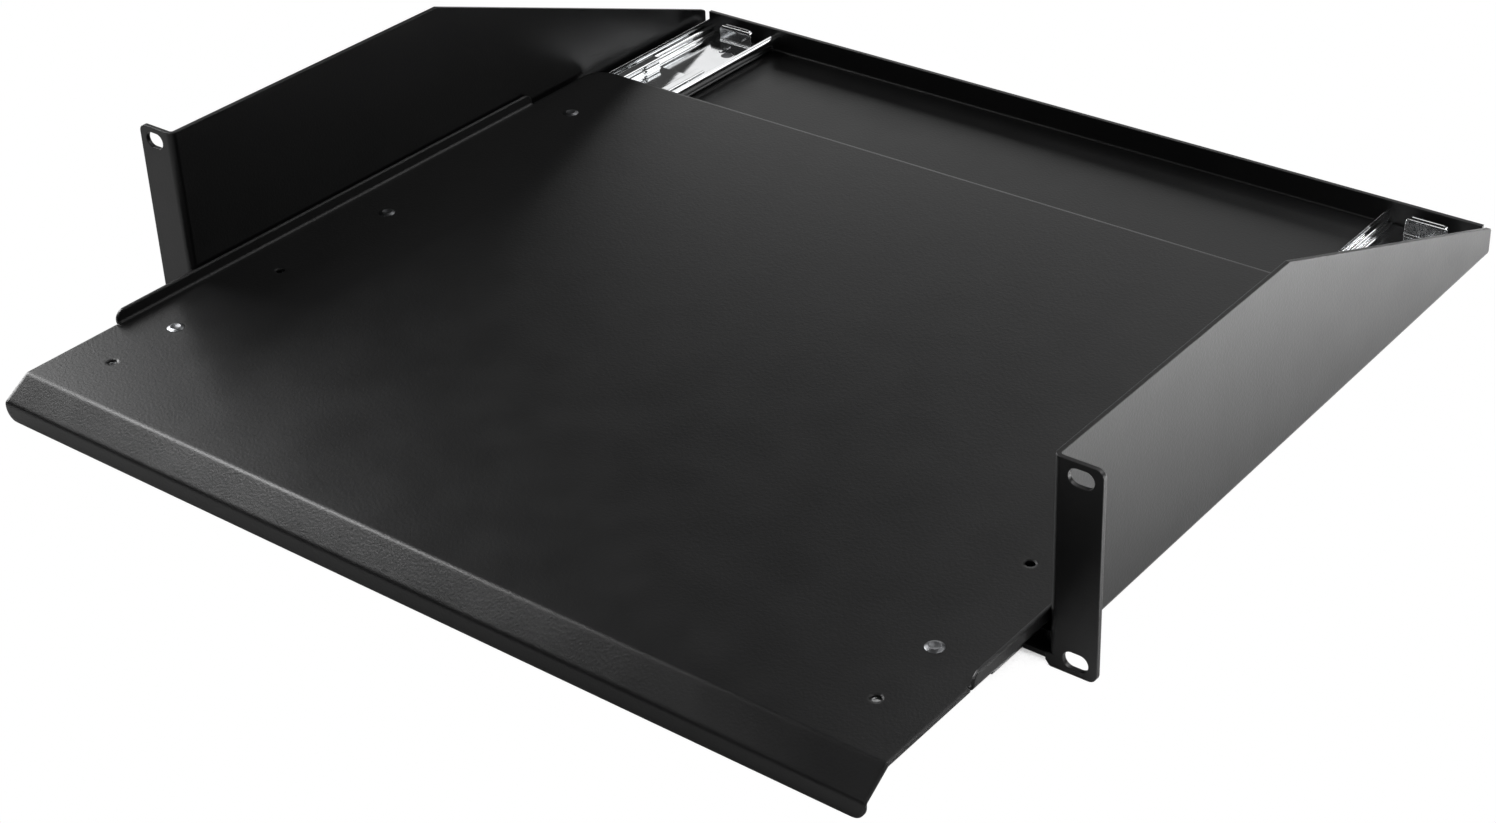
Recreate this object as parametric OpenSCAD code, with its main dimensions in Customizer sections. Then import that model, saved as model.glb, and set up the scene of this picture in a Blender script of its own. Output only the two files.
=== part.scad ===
// Sliding rack shelf, two rack units high: a folded steel chassis with rack ears,
// and a folded tray that runs out on two flat ball-bearing slides.
// Millimetres. +X is right seen from the front, +Y is the rear, +Z is up.
// The origin is the middle of the ears' slot pattern, in the plane of the ears' rear faces.

/* [Rack ears] */
// Overall width across both ears
rack_w = 482.6; // [400:0.1:620]
// Height of the ears, two rack units less the working gap
ear_h = 88.1; // [70:0.1:133]
// Distance from a side wall's outer face to the ear's outer edge
ear_reach = 18.3; // [16:0.1:24]
// Distance from an ear's outer edge to its slots' centres
slot_set_x = 8.75; // [8:0.05:10]
// Distance from an ear's upper and lower edges to its slots' centres
slot_set_z = 5.95; // [5:0.05:20]
// Length of a slot, across the ear
slot_l = 10.5; // [8:0.1:12]
// Height of a slot
slot_h = 7.2; // [5:0.1:7.9]
// Radius of the ears' outer corners
ear_r = 3.4; // [1:0.1:5]

/* [Chassis] */
// Depth from the ears' rear faces to the rear flange's rear face
chassis_d = 361; // [300:1:480]
// Thickness of the chassis sheet
sheet_t = 2; // [1.5:0.1:2.2]
// Inside radius of the chassis folds
fold_r = 1.2; // [0.6:0.1:2]
// Height of the floor's underside above the ears' lower edges
floor_lift = 2.2; // [1.5:0.1:4]
// Setback of the floor's front edge from the ears' front faces
floor_set = 1; // [0:0.1:3]
// Distance from the ears' rear faces to the point where the wall's top edge turns down
knee_y = 162.3; // [80:1:240]
// Height of the side wall's rear end above the floor's underside
wall_rear_h = 14.1; // [8:0.1:30]
// Gap between the side wall's rear end and the rear flange's rear face
wall_rear_gap = 2.2; // [1:0.1:8]
// Radius of the side wall's rear top corner
wall_rear_r = 2.2; // [0.5:0.1:5]
// Height of the rear flange above the floor's underside
flange_h = 13.8; // [8:0.1:20]
// Gap between each end of the rear flange and the side wall
flange_gap = 2.4; // [1:0.1:6]

/* [Tray] */
// Gap between the tray's side and the side wall's inner face
tray_gap = 1; // [0.4:0.1:3]
// Distance from the tray's front bend to the inner rails' front ends
tray_front = 14.4; // [8:0.1:30]
// Thickness of the tray sheet
tray_t = 1.2; // [0.9:0.1:1.5]
// Inside radius of the tray folds
tray_r = 1; // [0.5:0.1:2]
// Horizontal run of the nose's slope
nose_run = 13; // [9:0.1:20]
// Drop of the nose's slope
nose_drop = 7.9; // [5:0.1:9]
// Height of the nose's upright lip below the slope
lip_h = 7.9; // [6:0.1:9]
// Radius of the lip's lower corners
lip_r = 5.6; // [2:0.1:6]
// Height of the side flanges above the tray's top
side_h = 5.7; // [3:0.1:12]
// Distance from the front bend to the side flanges
side_set = 49; // [20:1:120]
// Distance from the side flanges to the tray's rear edge
side_rear_set = 49.8; // [15:0.1:120]
// Radius of the side flanges' upper corners
side_r = 4.4; // [1:0.1:5]
// Setback of the tray's plain side edges from the side flanges' outer faces
plain_set = 1; // [0:0.1:1.8]
// Radius of the tray's rear corners
tray_corner_r = 11; // [3:0.5:20]
// Diameter of the plain access holes in the tray
access_d = 4.1; // [3:0.1:5]

/* [Slides] */
// Gap between a slide's outer edge and the bend of the side wall
slide_gap = 1.15; // [0.5:0.05:12]
// Height of a slide from the floor to the tray's underside
slide_h = 11.5; // [11.3:0.1:14]
// Width of the outer rail
rail_w = 45.7; // [45:0.1:46.6]
// Distance from the ears' rear faces to the outer rails' front ends
outer_front = 8.9; // [2:0.1:20]
// Distance from the ears' rear faces to the middle rails' front ends, tray closed
middle_front = 19; // [10:0.1:30]
// Distance from the ears' rear faces to the inner rails' front ends, tray closed
inner_front = 5.5; // [1:0.1:20]
// Sheet thickness of the outer and middle rails
rail_t = 1.2; // [1.1:0.05:1.3]
// Sheet thickness of the inner rail
inner_t = 1; // [0.8:0.05:1.1]
// Thickness of the outer rail's curled race lips
lip_t = 1.2; // [1:0.05:1.3]
// Diameter of the balls between the outer and middle rails
ball_d = 4.76; // [4.5:0.01:4.8]
// Diameter of the balls between the middle and inner rails
small_ball_d = 3.18; // [3:0.01:3.2]
// Pitch of the large balls in their cage
ball_pitch = 14; // [9:0.5:20]
// Pitch of the small balls in their cage
small_pitch = 11; // [7:0.5:18]
// Gap at each end of the outer cage when the tray is fully drawn out
outer_cage_gap = 5; // [2:0.5:20]
// Gap at each end of the inner cage when the tray is fully drawn out
inner_cage_gap = 8.75; // [2:0.25:20]
// Thickness of the cages' strip
cage_t = 0.4; // [0.3:0.05:0.45]
// Running gap between nested webs
run_gap = 0.1; // [0.05:0.01:0.12]
// Running gap between a ball and its race
race_gap = 0.05; // [0.02:0.01:0.08]
// Width of the stop tab at the rear of the outer rail
stop_w = 20.4; // [10:0.1:24]
// Height of the stop tab above the floor
stop_h = 9.8; // [7:0.1:10.8]
// Distance from the stop tab's front face to the outer rail's rear end
stop_set = 6.9; // [5.5:0.1:12]
// Diameter of the rivets' shanks
rivet_d = 4; // [3:0.1:4.4]
// Diameter of the rivets' formed and flush heads
head_d = 6.2; // [5.4:0.1:8]
// Diameter of the tray rivets' dished heads
tray_head_d = 7.7; // [6.4:0.1:9]
// Diameter of the dish in a tray rivet's head
dish_d = 4.6; // [3:0.1:5.6]
// Height of the rivets' heads
head_h = 1; // [0.6:0.1:1.2]

/* [Pose and travel] */
// How far the tray stands drawn out of the chassis as modelled
drawn_out = 87; // [0:1:330]
// Whole travel of the tray from closed to fully drawn out
travel = 330; // [240:1:340]

/* [Hidden] */

// Facets of round shapes, and the margin by which cutters pass a face
fine = 64;
cut = 0.5;
// Overlap that joins two pieces end to end
seam = 0.001;

// Colours as seen on the object
powder_black = [0.09, 0.09, 0.1];
zinc = [0.78, 0.79, 0.8];
bright_steel = [0.88, 0.88, 0.9];
rivet_grey = [0.45, 0.46, 0.48];

// Widths that follow from the ears
chassis_w = rack_w - 2 * ear_reach;
slot_span_x = rack_w - 2 * slot_set_x;
slot_span_z = ear_h - 2 * slot_set_z;

// Heights of the chassis
z_ear = -ear_h / 2;
z_floor = z_ear + floor_lift;
z_deck = z_floor + sheet_t;
z_ear_top = z_ear + ear_h;
z_wall_rear = z_floor + wall_rear_h;
z_flange = z_floor + flange_h;
fold_out = fold_r + sheet_t;
y_flange_in = chassis_d - sheet_t;
y_wall_end = chassis_d - wall_rear_gap;
y_floor_end = chassis_d - fold_out;
flange_half = chassis_w / 2 - sheet_t - flange_gap;
corner_relief = 1;
corner_slack_share = 1 / 50;
// The ear's foot reaches in under the side wall, and slants up to the floor's front edge
foot_in = 0.9;
foot_slant = 1.8;
foot_r = 1.6;

// Heights and places of the tray
z_under = z_deck + slide_h;
z_top = z_under + tray_t;
tray_out_r = tray_r + tray_t;
tray_w = chassis_w - 2 * sheet_t - 2 * tray_gap;
rear_clear = 3.7;
tray_y1 = y_flange_in - rear_clear - drawn_out;
tray_y0 = inner_front - drawn_out - tray_front;
side_y0 = tray_y0 + side_set;
side_y1 = tray_y1 - side_rear_set;
side_relief = 0.6;
plain_half = tray_w / 2 - plain_set;
nose_a = atan2(nose_drop, nose_run);
lip_a = 90;
nose_y = tray_y0 - nose_run;
nose_z = z_top - nose_drop;
bend_one = tray_out_r * tan(nose_a / 2);
bend_two = tray_out_r * tan((lip_a - nose_a) / 2);

// Places along the slides
outer_y1 = y_flange_in - run_gap;
outer_web_y1 = y_floor_end - run_gap;
outer_y0 = outer_front;
stop_y = outer_y1 - stop_set;
middle_stop_gap = 4;
inner_stop_gap = 1.5;
middle_shut_y1 = stop_y - middle_stop_gap;
inner_shut_y1 = stop_y - inner_stop_gap;
middle_share = 1 / 2;
outer_cage_share = 1 / 4;
inner_cage_share = 3 / 4;
middle_y1 = middle_shut_y1 - middle_share * drawn_out;
middle_y0 = middle_front - middle_share * drawn_out;
inner_y1 = inner_shut_y1 - drawn_out;
inner_y0 = inner_front - drawn_out;
inner_cage_mid = (middle_front + inner_shut_y1) / 2 - inner_cage_share * drawn_out;
inner_room = inner_shut_y1 - middle_front - (1 - middle_share) * travel;
inner_cage_l = inner_room - 2 * inner_cage_gap;
// The outer cage is centred between the outer rail's front end and the middle rail's bumps
// when the tray is fully drawn out, so that it never meets the bumps
bump_set = 12;
bump_r = 2.1;
bump_tip_r = 1.3;
bump_tip_h = 1.4;
bump_out_y = middle_shut_y1 - middle_share * travel - bump_set - bump_r;
outer_cage_mid = (outer_y0 + bump_out_y) / 2 + outer_cage_share * (travel - drawn_out);
outer_cage_l = bump_out_y - outer_y0 - 2 * outer_cage_gap;

// Cross-section of a slide: u runs across from its centreline, v up from the floor
slide_span = chassis_w - 2 * fold_out - 2 * slide_gap - rail_w;
ball_r = ball_d / 2;
race_r = ball_r + race_gap;
race_out = race_r + lip_t;
small_r = small_ball_d / 2;
small_race_r = small_r + race_gap;
small_race_out = small_race_r + inner_t;
outer_cage_v = rail_t + run_gap;
middle_v = outer_cage_v + cage_t + run_gap;
middle_top_v = middle_v + rail_t;
inner_cage_v = middle_top_v + run_gap;
inner_tip_a = 106;
inner_low_a = 226;
race_floor_gap = 0.23;
ball_v = inner_cage_v + cage_t + race_floor_gap - small_race_out * sin(inner_low_a);
ball_u = rail_w / 2 - race_out;
outer_wall_share = 0.25;
outer_wall_in = ball_u + outer_wall_share * race_r;
outer_corner_r = 1;
outer_meet_a = 15;
race_low_a = -58;
race_tip_a = 68;
groove_depth = 0.62;
middle_u = ball_u - race_r + groove_depth;
middle_flange_t = 5.4;
middle_wall_t = 1.2;
middle_in_u = middle_u - middle_flange_t;
small_u = middle_in_u + groove_depth + race_gap - small_race_r;
middle_rise = 2.47;
middle_tip_v = ball_v + middle_rise;
middle_low_r = 0.9;
middle_tip_r = 0.8;
inner_wall_share = 0.34;
inner_wall_u = small_u - inner_wall_share * small_race_r;
inner_corner_r = 1;
inner_meet_a = 12;
inner_web_v = slide_h - inner_t;
cage_rim = 0.6;
cage_bend_r = 0.4;
pocket_gap = 0.12;

// Fasteners and holes along a slide, measured from the inner rail's front end
hole_grid = 32;
access_one = 11.7;
access_two = access_one + 3 * hole_grid;
rivet_after_hole = 35;
tray_rivet_one = access_one + rivet_after_hole;
end_clear = 20;
tray_rivet_steps = floor((inner_y1 - inner_y0 - tray_rivet_one - end_clear) / hole_grid);
tray_rivet_ys = [
    for (k = [0, floor(tray_rivet_steps / 2), tray_rivet_steps])
        inner_y0 + tray_rivet_one + k * hole_grid
];
access_ys = [inner_y0 + access_one, inner_y0 + access_two];
hole_over = 0.2;
inner_hole_d = access_d + hole_over;
rivet_fit = 0.05;
dish_depth = 0.35;

// Fasteners and openings of the outer rail
rail_rivet_u = 5.6;
rail_rivet_set = 21.3;
rail_rivet_steps = floor((outer_y1 - outer_y0 - rail_rivet_set - end_clear) / hole_grid);
rail_rivet_ys = [
    for (k = [0, floor(rail_rivet_steps / 2), rail_rivet_steps])
        outer_y1 - rail_rivet_set - k * hole_grid
];
oval_u = 7.9;
oval_w = 4;
oval_l = 9.8;
oval_set = 50.2;
oval_y = outer_y1 - oval_set;
ridge_w = 1.3;
ridge_l = 8.4;
ridge_h = 0.4;
ridge_set = 9;
slit_w = 0.9;
slit_l = 5.4;
ridge_y = stop_y - ridge_set;
slit_y = ridge_y - (ridge_l - slit_l) / 2;
dimple_r = 2.2;
dimple_depth = 0.8;
stop_r = 3;
stop_slit = 0.6;
stop_curl_r = 0.9;
stop_curl_l = 0.3;

// Draws an XZ profile as a bar from y0 to y1
module along_y(y0, y1) {
    translate([0, y1, 0]) rotate([90, 0, 0]) linear_extrude(y1 - y0) children();
}

// Draws a YZ profile as a bar from x0 to x1
module along_x(x0, x1) {
    translate([x0, 0, 0]) rotate([90, 0, 90]) linear_extrude(x1 - x0) children();
}

// Draws an XY profile as a plate from z0 to z1
module along_z(z0, z1) {
    translate([0, 0, z0]) linear_extrude(z1 - z0) children();
}

module span(x0, x1, y0, y1) {
    translate([x0, y0]) square([x1 - x0, y1 - y0]);
}

// A bent strip: the part of a ring between two angles
module bend(at, r_in, r_out, a0, a1) {
    reach = 2 * r_out;
    steps = 4;
    translate(at) intersection() {
        difference() {
            circle(r_out, $fn = fine);
            circle(r_in, $fn = fine);
        }
        polygon(concat([[0, 0]], [
            for (k = [0 : steps])
                let (a = a0 + (a1 - a0) * k / steps)
                [reach * cos(a), reach * sin(a)]
        ]));
    }
}

// What a rounded corner removes: dirs are the unit directions of its two edges away from the corner.
// A share of slack moves the circle outwards, so that it crosses a slanted edge at a slight angle.
module corner_waste(at, dir_a, dir_b, r, slack_share = 0) {
    mid = dir_a + dir_b;
    axis = mid / norm(mid);
    half_sin = norm(dir_a - dir_b) / 2;
    half_cos = norm(mid) / 2;
    centre = at + axis * r / half_sin;
    end_a = at + dir_a * r * half_cos / half_sin;
    end_b = at + dir_b * r * half_cos / half_sin;
    past = 1 + cut / r;
    difference() {
        polygon([
            at - axis * 2 * cut / half_sin,
            centre + (end_a - centre) * past,
            centre,
            centre + (end_b - centre) * past
        ]);
        translate(centre - axis * slack_share * r) circle(r, $fn = fine);
    }
}

// An oblong: a slot of length l along x and width w, centred on the origin
module oblong(l, w) {
    square([l - w, w], center = true);
    for (side = [-1, 1])
        translate([side * (l - w) / 2, 0]) circle(d = w, $fn = fine);
}

module both_sides() {
    children();
    mirror([1, 0, 0]) children();
}

// The chassis: floor and side walls as one U, then the rear flange and the ears
module chassis_u() {
    in_x = chassis_w / 2 - fold_out;
    span(-in_x, in_x, z_floor, z_deck);
    both_sides() {
        bend([in_x, z_floor + fold_out], fold_r, fold_out, -90, 0);
        span(chassis_w / 2 - sheet_t, chassis_w / 2, z_floor + fold_out, z_ear_top);
    }
}

module chassis_wall_waste() {
    knee = [knee_y, z_ear_top];
    heel = [y_wall_end, z_wall_rear];
    fall = (heel - knee) / norm(heel - knee);
    polygon([
        knee,
        heel,
        heel + [cut, 0],
        [y_wall_end + cut, z_ear_top + cut],
        knee + [0, cut]
    ]);
    corner_waste(heel, -fall, [0, -1], wall_rear_r, corner_slack_share);
}

module ear_outline() {
    fold_x = chassis_w / 2 + fold_r;
    foot = [chassis_w / 2 - foot_in, z_ear];
    step = [foot.x - foot_slant, z_floor];
    foot_top = z_floor + fold_out;
    edge_x = rack_w / 2;
    difference() {
        union() {
            span(fold_x, edge_x, z_ear, z_ear_top);
            polygon([[fold_x, z_ear], foot, step, [step.x, foot_top], [fold_x, foot_top]]);
        }
        corner_waste([edge_x, z_ear], [-1, 0], [0, 1], ear_r);
        corner_waste([edge_x, z_ear_top], [-1, 0], [0, -1], ear_r);
        corner_waste(foot, [1, 0], (step - foot) / norm(step - foot), foot_r, corner_slack_share);
        for (side = [-1, 1])
            translate([slot_span_x / 2, side * slot_span_z / 2]) oblong(slot_l, slot_h);
    }
}

module ear() {
    along_y(-sheet_t, 0) ear_outline();
    along_z(z_floor + fold_out, z_ear_top) {
        bend([chassis_w / 2 + fold_r, fold_r], fold_r, fold_out, 180, 270);
        span(chassis_w / 2 - sheet_t, chassis_w / 2, fold_r, fold_r + seam);
        span(chassis_w / 2 + fold_r, chassis_w / 2 + fold_r + seam, -sheet_t, 0);
    }
}

module chassis_walls_and_floor() {
    difference() {
        along_y(fold_r, y_wall_end) chassis_u();
        along_x(-rack_w / 2, rack_w / 2) chassis_wall_waste();
        translate([-flange_half - corner_relief, y_floor_end, z_floor - cut])
            cube([2 * (flange_half + corner_relief), fold_out, sheet_t + 2 * cut]);
    }
    // The floor's front edge reaches forward between the ears
    along_y(floor_set - sheet_t, fold_r + seam) intersection() {
        chassis_u();
        span(-chassis_w / 2, chassis_w / 2, z_floor, z_floor + fold_out);
    }
}

module rear_flange() {
    along_x(-flange_half, flange_half) {
        span(y_floor_end - seam, y_floor_end, z_floor, z_deck);
        bend([y_floor_end, z_floor + fold_out], fold_r, fold_out, -90, 0);
        span(y_flange_in, chassis_d, z_floor + fold_out, z_flange);
    }
}

module chassis() {
    color(powder_black) difference() {
        union() {
            chassis_walls_and_floor();
            rear_flange();
            both_sides() ear();
        }
        for (side = [-1, 1], y = rail_rivet_ys)
            translate([side * slide_span / 2 + rail_rivet_u, y, z_floor - cut])
                cylinder(d = rivet_d + 2 * rivet_fit, h = sheet_t + 2 * cut, $fn = fine);
    }
}

// The tray: flat top, upturned side flanges and a nose of a slope and an upright lip
module tray_flat_outline() {
    flat_y0 = tray_y0 + bend_one;
    notch_x = tray_w / 2 - tray_out_r;
    difference() {
        span(-plain_half, plain_half, flat_y0, tray_y1);
        both_sides() {
            span(notch_x, plain_half + cut, side_y0 - side_relief, side_y1 + side_relief);
            corner_waste([plain_half, tray_y1], [-1, 0], [0, -1], tray_corner_r);
        }
    }
}

module tray_side_flange() {
    bend_x = tray_w / 2 - tray_out_r;
    bend_z = z_under + tray_out_r;
    z_side = z_top + side_h;
    difference() {
        along_y(side_y0, side_y1) {
            span(bend_x - seam, bend_x, z_under, z_top);
            bend([bend_x, bend_z], tray_r, tray_out_r, -90, 0);
            span(tray_w / 2 - tray_t, tray_w / 2, bend_z, z_side);
        }
        along_x(bend_x, tray_w / 2 + cut) {
            corner_waste([side_y0, z_side], [1, 0], [0, -1], side_r);
            corner_waste([side_y1, z_side], [-1, 0], [0, -1], side_r);
        }
    }
}

// The nose in YZ: two bends with a straight slope between them, and a straight lip below
module nose_profile() {
    along = [cos(nose_a), sin(nose_a)];
    inward = [sin(nose_a), -cos(nose_a)];
    slope_top = [tray_y0, z_top] - along * bend_one;
    slope_low = [nose_y, nose_z] + along * bend_two;
    span(tray_y0 + bend_one, tray_y0 + bend_one + seam, z_under, z_top);
    bend([tray_y0 + bend_one, z_top - tray_out_r], tray_r, tray_out_r, lip_a, lip_a + nose_a);
    polygon([
        slope_top,
        slope_low,
        slope_low + inward * tray_t,
        slope_top + inward * tray_t
    ]);
    bend([nose_y + tray_out_r, nose_z - bend_two], tray_r, tray_out_r, lip_a + nose_a, 2 * lip_a);
    span(nose_y, nose_y + tray_t, nose_z - lip_h, nose_z - bend_two + seam);
}

module nose() {
    difference() {
        along_x(-plain_half, plain_half) nose_profile();
        along_y(nose_y - cut, nose_y + tray_t + cut) both_sides()
            corner_waste([plain_half, nose_z - lip_h], [-1, 0], [0, 1], lip_r);
    }
}

module tray() {
    color(powder_black) difference() {
        union() {
            along_z(z_under, z_top) tray_flat_outline();
            both_sides() tray_side_flange();
            nose();
        }
        for (side = [-1, 1]) {
            for (y = tray_rivet_ys)
                translate([side * slide_span / 2, y, z_under - cut])
                    cylinder(d = rivet_d + 2 * rivet_fit, h = tray_t + 2 * cut, $fn = fine);
            for (y = access_ys)
                translate([side * slide_span / 2, y, z_under - cut])
                    cylinder(d = access_d, h = tray_t + 2 * cut, $fn = fine);
        }
    }
}

// Places a slide's own section: u across and v up from the floor
module at_slide(side) {
    translate([side * slide_span / 2, 0, z_deck]) children();
}

// The outer rail: web, short walls and curled race lips, with the stop tab bent up at the rear
module outer_section() {
    corner_u = outer_wall_in - outer_corner_r;
    wall_top = ball_v - race_r * cos(outer_meet_a);
    span(-corner_u, corner_u, 0, rail_t);
    both_sides() {
        bend([corner_u, rail_t + outer_corner_r],
            outer_corner_r, outer_corner_r + rail_t, -90, 0);
        span(outer_wall_in, outer_wall_in + rail_t, rail_t + outer_corner_r, wall_top);
        bend([ball_u, ball_v], race_r, race_out, race_low_a, race_tip_a);
    }
}

module stop_tab() {
    half = stop_w / 2;
    curl_out = stop_curl_r + rail_t;
    difference() {
        along_x(-half, half) {
            span(stop_y - fold_r - seam, stop_y - fold_r, 0, rail_t);
            bend([stop_y - fold_r, rail_t + fold_r], fold_r, fold_r + rail_t, -90, 0);
            span(stop_y, stop_y + rail_t, rail_t + fold_r, stop_h - curl_out);
            bend([stop_y + curl_out, stop_h - curl_out], stop_curl_r, curl_out, 90, 180);
            span(stop_y + curl_out, stop_y + curl_out + stop_curl_l, stop_h - rail_t, stop_h);
        }
        along_y(stop_y - cut, stop_y + 2 * curl_out) both_sides()
            corner_waste([half, stop_h], [-1, 0], [0, -1], stop_r);
    }
}

module outer_rail() {
    open_half = stop_w / 2 + stop_slit;
    open_y = stop_y - fold_r;
    cone_low = rivet_d + 2 * rivet_fit;
    cone_top = head_d + 2 * rivet_fit;
    difference() {
        along_y(outer_y0, outer_y1) outer_section();
        translate([-open_half, open_y, -cut])
            cube([2 * open_half, outer_y1 - open_y + cut, rail_t + 2 * cut]);
        translate([-rail_w, outer_web_y1, -cut])
            cube([2 * rail_w, fold_out, rail_t + cut]);
        translate([oval_u, oval_y, -cut]) rotate([0, 0, 90])
            linear_extrude(rail_t + 2 * cut) oblong(oval_l, oval_w);
        translate([(ridge_w + slit_w) / 2, slit_y, -cut]) rotate([0, 0, 90])
            linear_extrude(rail_t + 2 * cut) oblong(slit_l, slit_w);
        for (y = rail_rivet_ys)
            translate([rail_rivet_u, y, 0])
                cylinder(d1 = cone_low, d2 = cone_top, h = rail_t, $fn = fine);
    }
    stop_tab();
    translate([-ridge_w / 2, ridge_y - ridge_l / 2, rail_t / 2])
        cube([ridge_w, ridge_l, rail_t / 2 + ridge_h]);
}

module left_outer_rail() { color(zinc) at_slide(-1) outer_rail(); }
module right_outer_rail() { color(zinc) at_slide(1) outer_rail(); }

// The middle rail: a web between two folded flanges that carry a ball groove on each face
module middle_section() {
    top = middle_tip_v;
    hollow_u0 = small_u + small_race_r + middle_wall_t;
    hollow_u1 = ball_u - race_r - middle_wall_t;
    hollow_top = top - middle_wall_t;
    difference() {
        union() {
            span(-middle_u, middle_u, middle_v, middle_top_v);
            both_sides() span(middle_in_u, middle_u, middle_v, top);
        }
        both_sides() {
            translate([ball_u, ball_v]) circle(race_r, $fn = fine);
            translate([small_u, ball_v]) circle(small_race_r, $fn = fine);
            corner_waste([middle_u, middle_v], [-1, 0], [0, 1], middle_low_r);
            corner_waste([middle_u, top], [-1, 0], [0, -1], middle_tip_r);
            corner_waste([middle_in_u, top], [1, 0], [0, -1], middle_tip_r);
            translate([(hollow_u0 + hollow_u1) / 2, (middle_top_v + hollow_top) / 2]) rotate(90)
                oblong(hollow_top - middle_top_v, hollow_u1 - hollow_u0);
        }
    }
}

// Bumps near the rail's rear end fill the outer grooves and hold the cage's balls in;
// each is pressed out from a dimple in the inner groove
module middle_rail() {
    bump_y = middle_y1 - bump_set;
    root_u = ball_u - race_r - middle_wall_t / 2;
    dimple_u = small_u + small_race_r + dimple_depth - dimple_r;
    difference() {
        union() {
            along_y(middle_y0, middle_y1) middle_section();
            both_sides() translate([root_u, bump_y, ball_v]) rotate([0, 90, 0]) {
                cylinder(r = bump_r, h = ball_u - root_u, $fn = fine);
                translate([0, 0, ball_u - root_u])
                    cylinder(r1 = bump_r, r2 = bump_tip_r, h = bump_tip_h, $fn = fine);
            }
        }
        both_sides() translate([dimple_u, bump_y, ball_v]) sphere(dimple_r, $fn = fine);
    }
}

module left_middle_rail() { color(zinc) at_slide(-1) middle_rail(); }
module right_middle_rail() { color(zinc) at_slide(1) middle_rail(); }

// The inner rail: a web under the tray, with lips that hang down into curled races
module inner_section() {
    corner_u = inner_wall_u - inner_t - inner_corner_r;
    corner_v = inner_web_v - inner_corner_r;
    wall_low = ball_v + small_race_r * cos(inner_meet_a);
    span(-corner_u, corner_u, inner_web_v, slide_h);
    both_sides() {
        bend([corner_u, corner_v], inner_corner_r, inner_corner_r + inner_t, 0, 90);
        span(inner_wall_u - inner_t, inner_wall_u, wall_low, corner_v);
        bend([small_u, ball_v], small_race_r, small_race_out, inner_tip_a, inner_low_a);
    }
}

module inner_rail() {
    difference() {
        along_y(inner_y0, inner_y1) inner_section();
        for (y = tray_rivet_ys)
            translate([0, y, inner_web_v - cut])
                cylinder(d = rivet_d + 2 * rivet_fit, h = inner_t + 2 * cut, $fn = fine);
        for (y = access_ys)
            translate([0, y, inner_web_v - cut])
                cylinder(d = inner_hole_d, h = inner_t + 2 * cut, $fn = fine);
    }
}

module left_inner_rail() { color(zinc) at_slide(-1) inner_rail(); }
module right_inner_rail() { color(zinc) at_slide(1) inner_rail(); }

// A ball cage: a thin strip with both edges turned up, and a row of round pockets in each
module cage(mid_y, l, row_u, low_v, pocket_r, pitch) {
    bend_r = cage_bend_r;
    out_r = bend_r + cage_t;
    corner_u = row_u + cage_t / 2 - out_r;
    lip_v = ball_v + pocket_r + cage_rim;
    difference() {
        along_y(mid_y - l / 2, mid_y + l / 2) {
            span(-corner_u, corner_u, low_v, low_v + cage_t);
            both_sides() {
                bend([corner_u, low_v + out_r], bend_r, out_r, -90, 0);
                span(corner_u + bend_r, corner_u + out_r, low_v + out_r, lip_v);
            }
        }
        for (y = ball_ys(mid_y, l, pitch), side = [-1, 1])
            translate([side * (row_u - cage_t), y, ball_v]) rotate([0, side * 90, 0])
                cylinder(r = pocket_r, h = 2 * cage_t, $fn = fine);
    }
}

// Ball places along a cage: as many as fit, centred
function ball_ys(mid_y, l, pitch) =
    let (count = floor(l / pitch) - 1)
    [for (k = [0 : count]) mid_y + (k - count / 2) * pitch];

module balls(mid_y, l, row_u, r, pitch) {
    for (y = ball_ys(mid_y, l, pitch), side = [-1, 1])
        translate([side * row_u, y, ball_v]) sphere(r, $fn = fine);
}

module outer_cage() {
    cage(outer_cage_mid, outer_cage_l, ball_u, outer_cage_v, ball_r + pocket_gap, ball_pitch);
}

module inner_cage() {
    cage(inner_cage_mid, inner_cage_l, small_u, inner_cage_v, small_r + pocket_gap, small_pitch);
}

module outer_balls() {
    balls(outer_cage_mid, outer_cage_l, ball_u, ball_r, ball_pitch);
}

module inner_balls() {
    balls(inner_cage_mid, inner_cage_l, small_u, small_r, small_pitch);
}

module left_outer_cage() { color(zinc) at_slide(-1) outer_cage(); }
module right_outer_cage() { color(zinc) at_slide(1) outer_cage(); }
module left_inner_cage() { color(zinc) at_slide(-1) inner_cage(); }
module right_inner_cage() { color(zinc) at_slide(1) inner_cage(); }
module left_outer_balls() { color(bright_steel) at_slide(-1) outer_balls(); }
module right_outer_balls() { color(bright_steel) at_slide(1) outer_balls(); }
module left_inner_balls() { color(bright_steel) at_slide(-1) inner_balls(); }
module right_inner_balls() { color(bright_steel) at_slide(1) inner_balls(); }

// Radius of the sphere whose cap has a given foot radius and height
function cap_r(foot, height) = (foot * foot + height * height) / (2 * height);

// A low domed head on the plane z = 0
module dome_head(d) {
    dome_r = cap_r(d / 2, head_h);
    rotate_extrude($fn = fine) intersection() {
        translate([0, head_h - dome_r]) circle(dome_r, $fn = 4 * fine);
        square([d / 2, head_h]);
    }
}

// The shallow dish in a head that stands on the plane z = 0
module dish_waste(d) {
    dome_r = cap_r(d / 2, head_h);
    rim_z = head_h - dome_r + sqrt(dome_r * dome_r - dish_d * dish_d / 4);
    dish_r = cap_r(dish_d / 2, dish_depth);
    translate([0, 0, rim_z - dish_depth + dish_r]) sphere(dish_r, $fn = 2 * fine);
}

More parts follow.
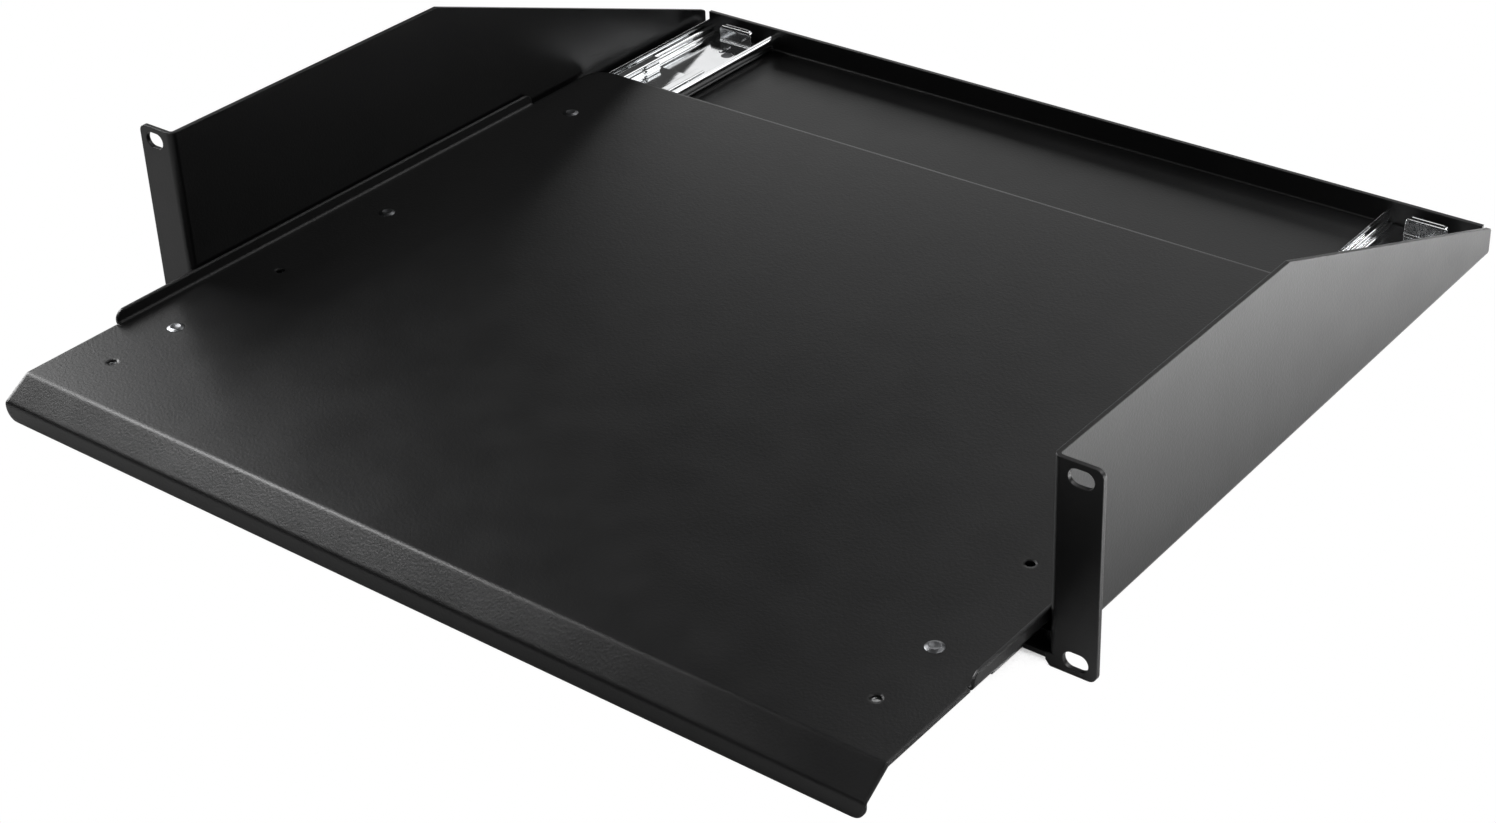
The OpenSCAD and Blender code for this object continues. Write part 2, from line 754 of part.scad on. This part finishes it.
// Rivets that hold the outer rail to the floor: flush above, a formed head below
module rail_rivets() {
    for (y = rail_rivet_ys)
        translate([rail_rivet_u, y, 0]) {
            cylinder(d1 = rivet_d, d2 = head_d, h = rail_t, $fn = fine);
            translate([0, 0, -sheet_t]) cylinder(d = rivet_d, h = sheet_t, $fn = fine);
            translate([0, 0, -sheet_t]) mirror([0, 0, 1]) dome_head(head_d);
        }
}

module left_rail_rivets() { color(rivet_grey) at_slide(-1) rail_rivets(); }
module right_rail_rivets() { color(rivet_grey) at_slide(1) rail_rivets(); }

// Rivets that hold the tray to the inner rail: a dished head above, a formed head below
module tray_rivets() {
    for (y = tray_rivet_ys)
        translate([0, y, inner_web_v]) difference() {
            union() {
                cylinder(d = rivet_d, h = inner_t + tray_t, $fn = fine);
                translate([0, 0, inner_t + tray_t]) dome_head(tray_head_d);
                mirror([0, 0, 1]) dome_head(head_d);
            }
            translate([0, 0, inner_t + tray_t]) dish_waste(tray_head_d);
        }
}

module left_tray_rivets() { color(rivet_grey) at_slide(-1) tray_rivets(); }
module right_tray_rivets() { color(rivet_grey) at_slide(1) tray_rivets(); }

chassis();
tray();
left_outer_rail();
right_outer_rail();
left_middle_rail();
right_middle_rail();
left_inner_rail();
right_inner_rail();
left_outer_cage();
right_outer_cage();
left_outer_balls();
right_outer_balls();
left_inner_cage();
right_inner_cage();
left_inner_balls();
right_inner_balls();
left_rail_rivets();
right_rail_rivets();
left_tray_rivets();
right_tray_rivets();
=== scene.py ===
import math

import bpy
from mathutils import Matrix, Vector


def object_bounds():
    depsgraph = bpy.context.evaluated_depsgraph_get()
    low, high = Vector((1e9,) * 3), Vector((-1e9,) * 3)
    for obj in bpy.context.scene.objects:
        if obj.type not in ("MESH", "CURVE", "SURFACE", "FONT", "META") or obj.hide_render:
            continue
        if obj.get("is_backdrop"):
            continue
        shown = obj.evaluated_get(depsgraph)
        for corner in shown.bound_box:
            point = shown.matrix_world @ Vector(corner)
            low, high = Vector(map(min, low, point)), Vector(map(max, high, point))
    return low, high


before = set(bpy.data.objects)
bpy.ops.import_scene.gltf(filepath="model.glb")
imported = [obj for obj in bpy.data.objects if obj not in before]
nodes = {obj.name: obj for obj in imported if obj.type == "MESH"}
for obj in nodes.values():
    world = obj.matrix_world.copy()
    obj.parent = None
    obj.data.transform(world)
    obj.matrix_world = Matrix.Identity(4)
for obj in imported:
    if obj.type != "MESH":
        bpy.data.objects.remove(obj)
low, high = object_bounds()
size_before = [[float(v) for v in low], [float(v) for v in high]]


# Chassis and tray
# Two folded steel sheets, 2 mm and 1.2 mm thick: the chassis bolts to the rack by its ears, and
# the tray is riveted to the slides. Both have a grained black powder coat, paler on edges and
# folds, which is partly worn coat and partly a painted highlight.
coat_black = (0.005, 0.005, 0.0052)
coat_cloud = tuple(v * 1.12 for v in coat_black)
# Paler colour on edges and folds: partly worn coat, partly a painted highlight
coat_worn_and_highlight = (0.07, 0.07, 0.072)
coat_smoothest, coat_roughest = 0.3, 0.34
grain_strength, grain_depth = 0.12, 0.0002
chassis_edge_radius = 0.0006
tray_edge_radius = 0.002
bevel_samples = 6
number, arrow = "NodeSocketFloat", "NodeSocketVector"


def shader_group(name, inputs, output):
    """An empty shader group with named inputs and one output, each a label and a socket type."""
    group = bpy.data.node_groups.new(name, "ShaderNodeTree")
    for label, kind in inputs:
        group.interface.new_socket(label, in_out="INPUT", socket_type=kind)
    label, kind = output
    group.interface.new_socket(label, in_out="OUTPUT", socket_type=kind)
    return group, group.nodes.new("NodeGroupInput"), group.nodes.new("NodeGroupOutput")


# Unevenness: noise, of which the middle range is spread between a lowest and a highest value
uneven, given, result = shader_group(
    "uneven",
    [("Vector", arrow), ("Scale", number), ("Detail", number), ("Lowest", number), ("Highest", number)],
    ("Value", number),
)
noise = uneven.nodes.new("ShaderNodeTexNoise")
spread = uneven.nodes.new("ShaderNodeMapRange")
spread.inputs["From Min"].default_value = 0.3
spread.inputs["From Max"].default_value = 0.7
for label in ("Vector", "Scale", "Detail"):
    uneven.links.new(given.outputs[label], noise.inputs[label])
uneven.links.new(noise.outputs["Fac"], spread.inputs["Value"])
uneven.links.new(given.outputs["Lowest"], spread.inputs["To Min"])
uneven.links.new(given.outputs["Highest"], spread.inputs["To Max"])
uneven.links.new(spread.outputs["Result"], result.inputs["Value"])


def unevenness(tree, coords, scale, detail, lowest=0.0, highest=1.0):
    """Places the uneven group in a tree, over these coordinates, and gives its value."""
    node = tree.nodes.new("ShaderNodeGroup")
    node.node_tree = uneven
    node.inputs["Scale"].default_value = scale
    node.inputs["Detail"].default_value = detail
    node.inputs["Lowest"].default_value = lowest
    node.inputs["Highest"].default_value = highest
    tree.links.new(coords, node.inputs["Vector"])
    return node.outputs["Value"]


# Edges and folds, partly worn coat and partly a painted highlight: a patchy mask, up to a half,
# where the rounded normal turns away from the face's own
edge_wear_and_highlight, given, result = shader_group(
    "edge_wear_and_highlight",
    [("Vector", arrow), ("Face Normal", arrow), ("Rounded Normal", arrow)],
    ("Mask", number),
)
agreement = edge_wear_and_highlight.nodes.new("ShaderNodeVectorMath")
agreement.operation = "DOT_PRODUCT"
turn = edge_wear_and_highlight.nodes.new("ShaderNodeMapRange")
turn.inputs["From Min"].default_value = 0.985
turn.inputs["From Max"].default_value = 0.9
turn.inputs["To Min"].default_value = 0.0
turn.inputs["To Max"].default_value = 0.5
patchy = edge_wear_and_highlight.nodes.new("ShaderNodeMath")
patchy.operation = "MULTIPLY"
patches = unevenness(edge_wear_and_highlight, given.outputs["Vector"], scale=60.0, detail=3.0, lowest=0.2)
edge_wear_and_highlight.links.new(given.outputs["Rounded Normal"], agreement.inputs[0])
edge_wear_and_highlight.links.new(given.outputs["Face Normal"], agreement.inputs[1])
edge_wear_and_highlight.links.new(agreement.outputs["Value"], turn.inputs["Value"])
edge_wear_and_highlight.links.new(turn.outputs["Result"], patchy.inputs[0])
edge_wear_and_highlight.links.new(patches, patchy.inputs[1])
edge_wear_and_highlight.links.new(patchy.outputs["Value"], result.inputs["Mask"])


def powder_coat(name, edge_radius):
    """Black coat: noise in gloss, grain and colour, and a paler colour on edges and folds, partly worn
    coat and partly a painted highlight.
    """
    mat = bpy.data.materials.new(name)
    mat.use_nodes = True
    tree = mat.node_tree
    link = tree.links.new
    shader = tree.nodes["Principled BSDF"]
    coords = tree.nodes.new("ShaderNodeTexCoord").outputs["Object"]
    gloss = unevenness(tree, coords, scale=45.0, detail=4.0, lowest=coat_smoothest, highest=coat_roughest)
    link(gloss, shader.inputs["Roughness"])

    bevel = tree.nodes.new("ShaderNodeBevel")
    bevel.samples = bevel_samples
    bevel.inputs["Radius"].default_value = edge_radius
    grain = tree.nodes.new("ShaderNodeBump")
    grain.inputs["Strength"].default_value = grain_strength
    grain.inputs["Distance"].default_value = grain_depth
    link(unevenness(tree, coords, scale=900.0, detail=2.0), grain.inputs["Height"])
    link(bevel.outputs["Normal"], grain.inputs["Normal"])
    link(grain.outputs["Normal"], shader.inputs["Normal"])

    # The paler colour on edges and folds is partly worn coat and partly a painted highlight
    wear_and_highlight = tree.nodes.new("ShaderNodeGroup")
    wear_and_highlight.node_tree = edge_wear_and_highlight
    link(coords, wear_and_highlight.inputs["Vector"])
    link(tree.nodes.new("ShaderNodeNewGeometry").outputs["True Normal"], wear_and_highlight.inputs["Face Normal"])
    link(bevel.outputs["Normal"], wear_and_highlight.inputs["Rounded Normal"])
    cloud = tree.nodes.new("ShaderNodeMix")
    cloud.data_type = "RGBA"
    cloud.inputs["A"].default_value = (*coat_black, 1.0)
    cloud.inputs["B"].default_value = (*coat_cloud, 1.0)
    link(unevenness(tree, coords, scale=6.0, detail=3.0), cloud.inputs["Factor"])
    colour = tree.nodes.new("ShaderNodeMix")
    colour.data_type = "RGBA"
    colour.inputs["B"].default_value = (*coat_worn_and_highlight, 1.0)
    link(cloud.outputs["Result"], colour.inputs["A"])
    link(wear_and_highlight.outputs["Mask"], colour.inputs["Factor"])
    link(colour.outputs["Result"], shader.inputs["Base Color"])
    return mat


def dress(node, mat):
    """Gives every material slot of a CAD node this material."""
    for place in nodes[node].material_slots:
        place.material = mat


dress("chassis", powder_coat("chassis_coat", chassis_edge_radius))
dress("tray", powder_coat("tray_coat", tray_edge_radius))


# Slide rails, left and right
# Steel strip rolled to curled races and plated with bright zinc, with fine drawing lines along
# it. The outer rails are riveted to the chassis floor and the inner ones under the tray.
zinc_colour = (0.86, 0.87, 0.88)
dull_share = 0.88
along_rail = (1.0, 0.02, 1.0)
plated_edge_radius = 0.0002
ripple_depth, line_depth = 0.0005, 0.0001


def plated(name, colour, smoothest, roughest, ripples, lines):
    """Plated steel: stretched noise for the drawing lines, and wide noise that bends reflections."""
    mat = bpy.data.materials.new(name)
    mat.use_nodes = True
    tree = mat.node_tree
    link = tree.links.new
    shader = tree.nodes["Principled BSDF"]
    shader.inputs["Metallic"].default_value = 1.0
    coords = tree.nodes.new("ShaderNodeTexCoord").outputs["Object"]
    stretch = tree.nodes.new("ShaderNodeMapping")
    stretch.inputs["Scale"].default_value = along_rail
    link(coords, stretch.inputs["Vector"])
    drawn = stretch.outputs["Vector"]
    gloss = unevenness(tree, drawn, scale=1500.0, detail=2.0, lowest=smoothest, highest=roughest)
    link(gloss, shader.inputs["Roughness"])

    bevel = tree.nodes.new("ShaderNodeBevel")
    bevel.samples = bevel_samples
    bevel.inputs["Radius"].default_value = plated_edge_radius
    ripple = tree.nodes.new("ShaderNodeBump")
    ripple.inputs["Strength"].default_value = ripples
    ripple.inputs["Distance"].default_value = ripple_depth
    link(unevenness(tree, coords, scale=90.0, detail=1.0), ripple.inputs["Height"])
    link(bevel.outputs["Normal"], ripple.inputs["Normal"])
    scored = tree.nodes.new("ShaderNodeBump")
    scored.inputs["Strength"].default_value = lines
    scored.inputs["Distance"].default_value = line_depth
    link(unevenness(tree, drawn, scale=1200.0, detail=1.0), scored.inputs["Height"])
    link(ripple.outputs["Normal"], scored.inputs["Normal"])
    link(scored.outputs["Normal"], shader.inputs["Normal"])

    tone = tree.nodes.new("ShaderNodeMix")
    tone.data_type = "RGBA"
    tone.inputs["A"].default_value = (*colour, 1.0)
    tone.inputs["B"].default_value = (*(v * dull_share for v in colour), 1.0)
    link(unevenness(tree, coords, scale=40.0, detail=4.0), tone.inputs["Factor"])
    link(tone.outputs["Result"], shader.inputs["Base Color"])
    return mat


zinc = plated("bright_zinc", zinc_colour, smoothest=0.06, roughest=0.12, ripples=0.02, lines=0.03)
for side in ("left", "right"):
    for rail in ("outer_rail", "middle_rail", "inner_rail"):
        dress(f"{side}_{rail}", zinc)


# Ball cages and balls, left and right
# Thin zinc-plated strip with both edges turned up and a row of pockets in each, and polished
# bearing balls under a film of grease, which sit in the pockets and roll in the rails' races.
cage_colour = (0.72, 0.72, 0.71)
ball_colour = (0.82, 0.82, 0.84)
cage_strip = plated("cage_strip", cage_colour, smoothest=0.2, roughest=0.34, ripples=0.04, lines=0.1)
ball_steel = plated("ball_steel", ball_colour, smoothest=0.03, roughest=0.09, ripples=0.0, lines=0.02)
for side in ("left", "right"):
    for ring in ("outer", "inner"):
        dress(f"{side}_{ring}_cage", cage_strip)
        dress(f"{side}_{ring}_balls", ball_steel)


# Rivets, left and right
# Dark-plated steel: rivets with low dished heads join the tray to the inner rails, and flush
# ones in the outer rails' webs fix those rails to the chassis.
rivet_colour = (0.26, 0.265, 0.275)
rivet_plate = plated("rivet_plate", rivet_colour, smoothest=0.3, roughest=0.38, ripples=0.03, lines=0.03)
for side in ("left", "right"):
    dress(f"{side}_rail_rivets", rivet_plate)
    dress(f"{side}_tray_rivets", rivet_plate)


# Floor
# A large pale plane under the shelf, open to the view from below. Seen straight, it is plain
# white but where the shelf covers it closely; all other light meets it matt and light grey.
floor_grey = (0.5, 0.5, 0.5, 1.0)
floor_roughness = 0.9
pure_white = (1.0, 1.0, 1.0, 1.0)
floor_half = 6.0
floor_z = size_before[0][2] - 0.0005
cover_reach, cover_samples = 0.4, 8
covered_sky, open_sky = 0.06, 0.1

floor_mat = bpy.data.materials.new("pale_floor")
floor_mat.use_nodes = True
tree = floor_mat.node_tree
matt = tree.nodes["Principled BSDF"]
matt.inputs["Base Color"].default_value = floor_grey
matt.inputs["Roughness"].default_value = floor_roughness
white = tree.nodes.new("ShaderNodeEmission")
white.inputs["Color"].default_value = pure_white
cover = tree.nodes.new("ShaderNodeAmbientOcclusion")
cover.samples = cover_samples
cover.inputs["Distance"].default_value = cover_reach
openness = tree.nodes.new("ShaderNodeMapRange")
openness.inputs["From Min"].default_value = covered_sky
openness.inputs["From Max"].default_value = open_sky
seen_open = tree.nodes.new("ShaderNodeMath")
seen_open.operation = "MULTIPLY"
path = tree.nodes.new("ShaderNodeLightPath")
from_above = tree.nodes.new("ShaderNodeMixShader")
geometry = tree.nodes.new("ShaderNodeNewGeometry")
clear = tree.nodes.new("ShaderNodeBsdfTransparent")
one_sided = tree.nodes.new("ShaderNodeMixShader")
tree.links.new(cover.outputs["AO"], openness.inputs["Value"])
tree.links.new(path.outputs["Is Camera Ray"], seen_open.inputs[0])
tree.links.new(openness.outputs["Result"], seen_open.inputs[1])
tree.links.new(seen_open.outputs["Value"], from_above.inputs["Fac"])
tree.links.new(matt.outputs["BSDF"], from_above.inputs[1])
tree.links.new(white.outputs["Emission"], from_above.inputs[2])
tree.links.new(geometry.outputs["Backfacing"], one_sided.inputs["Fac"])
tree.links.new(from_above.outputs["Shader"], one_sided.inputs[1])
tree.links.new(clear.outputs["BSDF"], one_sided.inputs[2])
tree.links.new(one_sided.outputs["Shader"], tree.nodes["Material Output"].inputs["Surface"])

corners = [(x * floor_half, y * floor_half, floor_z) for x, y in ((-1, -1), (1, -1), (1, 1), (-1, 1))]
floor_mesh = bpy.data.meshes.new("floor")
floor_mesh.from_pydata(corners, [], [(0, 1, 2, 3)])
floor_mesh.update()
floor_mesh.materials.append(floor_mat)
floor = bpy.data.objects.new("floor", floor_mesh)
bpy.context.scene.collection.objects.link(floor)
floor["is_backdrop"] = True


# Room
# White where it is seen straight, behind the floor's edge, and almost dark to all other rays, so
# that the lamps alone shape the black coat and the zinc.
room_strength = 0.02

world = bpy.data.worlds.new("studio")
bpy.context.scene.world = world
world.use_nodes = True
tree = world.node_tree
tree.nodes.clear()
seen = tree.nodes.new("ShaderNodeBackground")
seen.inputs["Color"].default_value = pure_white
dim = tree.nodes.new("ShaderNodeBackground")
dim.inputs["Color"].default_value = pure_white
dim.inputs["Strength"].default_value = room_strength
path = tree.nodes.new("ShaderNodeLightPath")
choose = tree.nodes.new("ShaderNodeMixShader")
world_out = tree.nodes.new("ShaderNodeOutputWorld")
tree.links.new(path.outputs["Is Camera Ray"], choose.inputs["Fac"])
tree.links.new(dim.outputs["Background"], choose.inputs[1])
tree.links.new(seen.outputs["Background"], choose.inputs[2])
tree.links.new(choose.outputs["Shader"], world_out.inputs["Surface"])


# Lamps
# Soft boxes: strong ones on the left and weaker ones behind, which the tray and the zinc reflect,
# two in front, two hung over the floor on the right, and a small one for the nose's left end.
shelf_middle = (0.0, 0.1, 0.0)
hung_spread = 90.0


def soft_box(name, place, aim, size, watts, spread=180.0):
    """A rectangular lamp of this size at a place, turned to its aim, with its spread in degrees."""
    light = bpy.data.lights.new(name, "AREA")
    light.shape = "RECTANGLE"
    light.size, light.size_y = size
    light.energy = watts
    light.spread = math.radians(spread)
    obj = bpy.data.objects.new(name, light)
    bpy.context.scene.collection.objects.link(obj)
    obj.location = place
    obj.rotation_euler = (Vector(aim) - Vector(place)).to_track_quat("-Z", "Y").to_euler()


soft_box("rear_left_box", (-1.076, 1.964, 0.457), shelf_middle, size=(1.1, 0.9), watts=3.1)
soft_box("left_low_box", (-2.152, 0.1, 0.457), shelf_middle, size=(1.1, 0.9), watts=27.0)
soft_box("left_high_box", (-2.2, 0.4, 1.2), shelf_middle, size=(1.6, 1.6), watts=24.0)
soft_box("rear_high_box", (0.1, 1.55, 1.65), shelf_middle, size=(1.8, 0.9), watts=5.6)
soft_box("front_box", (-0.1, -1.9, 1.9), shelf_middle, size=(1.6, 1.0), watts=6.0)
soft_box("front_right_box", (1.9, -1.2, 1.5), shelf_middle, size=(1.4, 1.0), watts=6.0)
soft_box("right_rear_box", (1.1, 1.58, 1.2), shelf_middle, size=(1.1, 0.9), watts=6.0)
soft_box(
    "right_floor_box", (0.62, 0.32, 0.3), (0.62, 0.32, -0.05),
    size=(0.5, 0.7), watts=12.2, spread=hung_spread)
soft_box(
    "right_rear_floor_box", (0.55, 0.62, 0.3), (0.55, 0.62, -0.05),
    size=(0.5, 0.5), watts=9.0, spread=hung_spread)
soft_box(
    "nose_box", (-0.636, -0.076, 0.637), (-0.2, -0.12, -0.03),
    size=(0.25, 0.25), watts=0.36, spread=60.0)


# Camera
# The photograph's view: a medium-long lens from the front right, 30 degrees up, which leans a
# little to one side and is shifted so that the shelf fills the picture.
azimuth = math.radians(39.01)
elevation = math.radians(29.75)
roll = math.radians(-2.31)
target = Vector((0.0514, 0.048, 0.01735))
distance = 1.031
photo_w, photo_h = 1496.0, 823.0
lens_px = 2653.0
centre_y = 320.0

flat_back = math.cos(elevation)
back = Vector((math.sin(azimuth) * flat_back, -math.cos(azimuth) * flat_back, math.sin(elevation)))
right = Vector((math.cos(azimuth), math.sin(azimuth), 0.0))
up = back.cross(right)
right_turned = right * math.cos(roll) + up * math.sin(roll)
up_turned = up * math.cos(roll) - right * math.sin(roll)
place = target + back * distance

cam_data = bpy.data.cameras.new("photo_camera")
cam_data.sensor_width = 36.0
cam_data.lens = lens_px * cam_data.sensor_width / photo_w
cam_data.shift_y = (centre_y - photo_h / 2) / photo_w
cam_data.clip_end = 50.0
camera = bpy.data.objects.new("photo_camera", cam_data)
bpy.context.scene.collection.objects.link(camera)
camera.matrix_world = Matrix((
    (right_turned.x, up_turned.x, back.x, place.x),
    (right_turned.y, up_turned.y, back.y, place.y),
    (right_turned.z, up_turned.z, back.z, place.z),
    (0.0, 0.0, 0.0, 1.0)))
bpy.context.scene.camera = camera
bpy.context.scene.view_settings.view_transform = "Standard"

low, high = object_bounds()
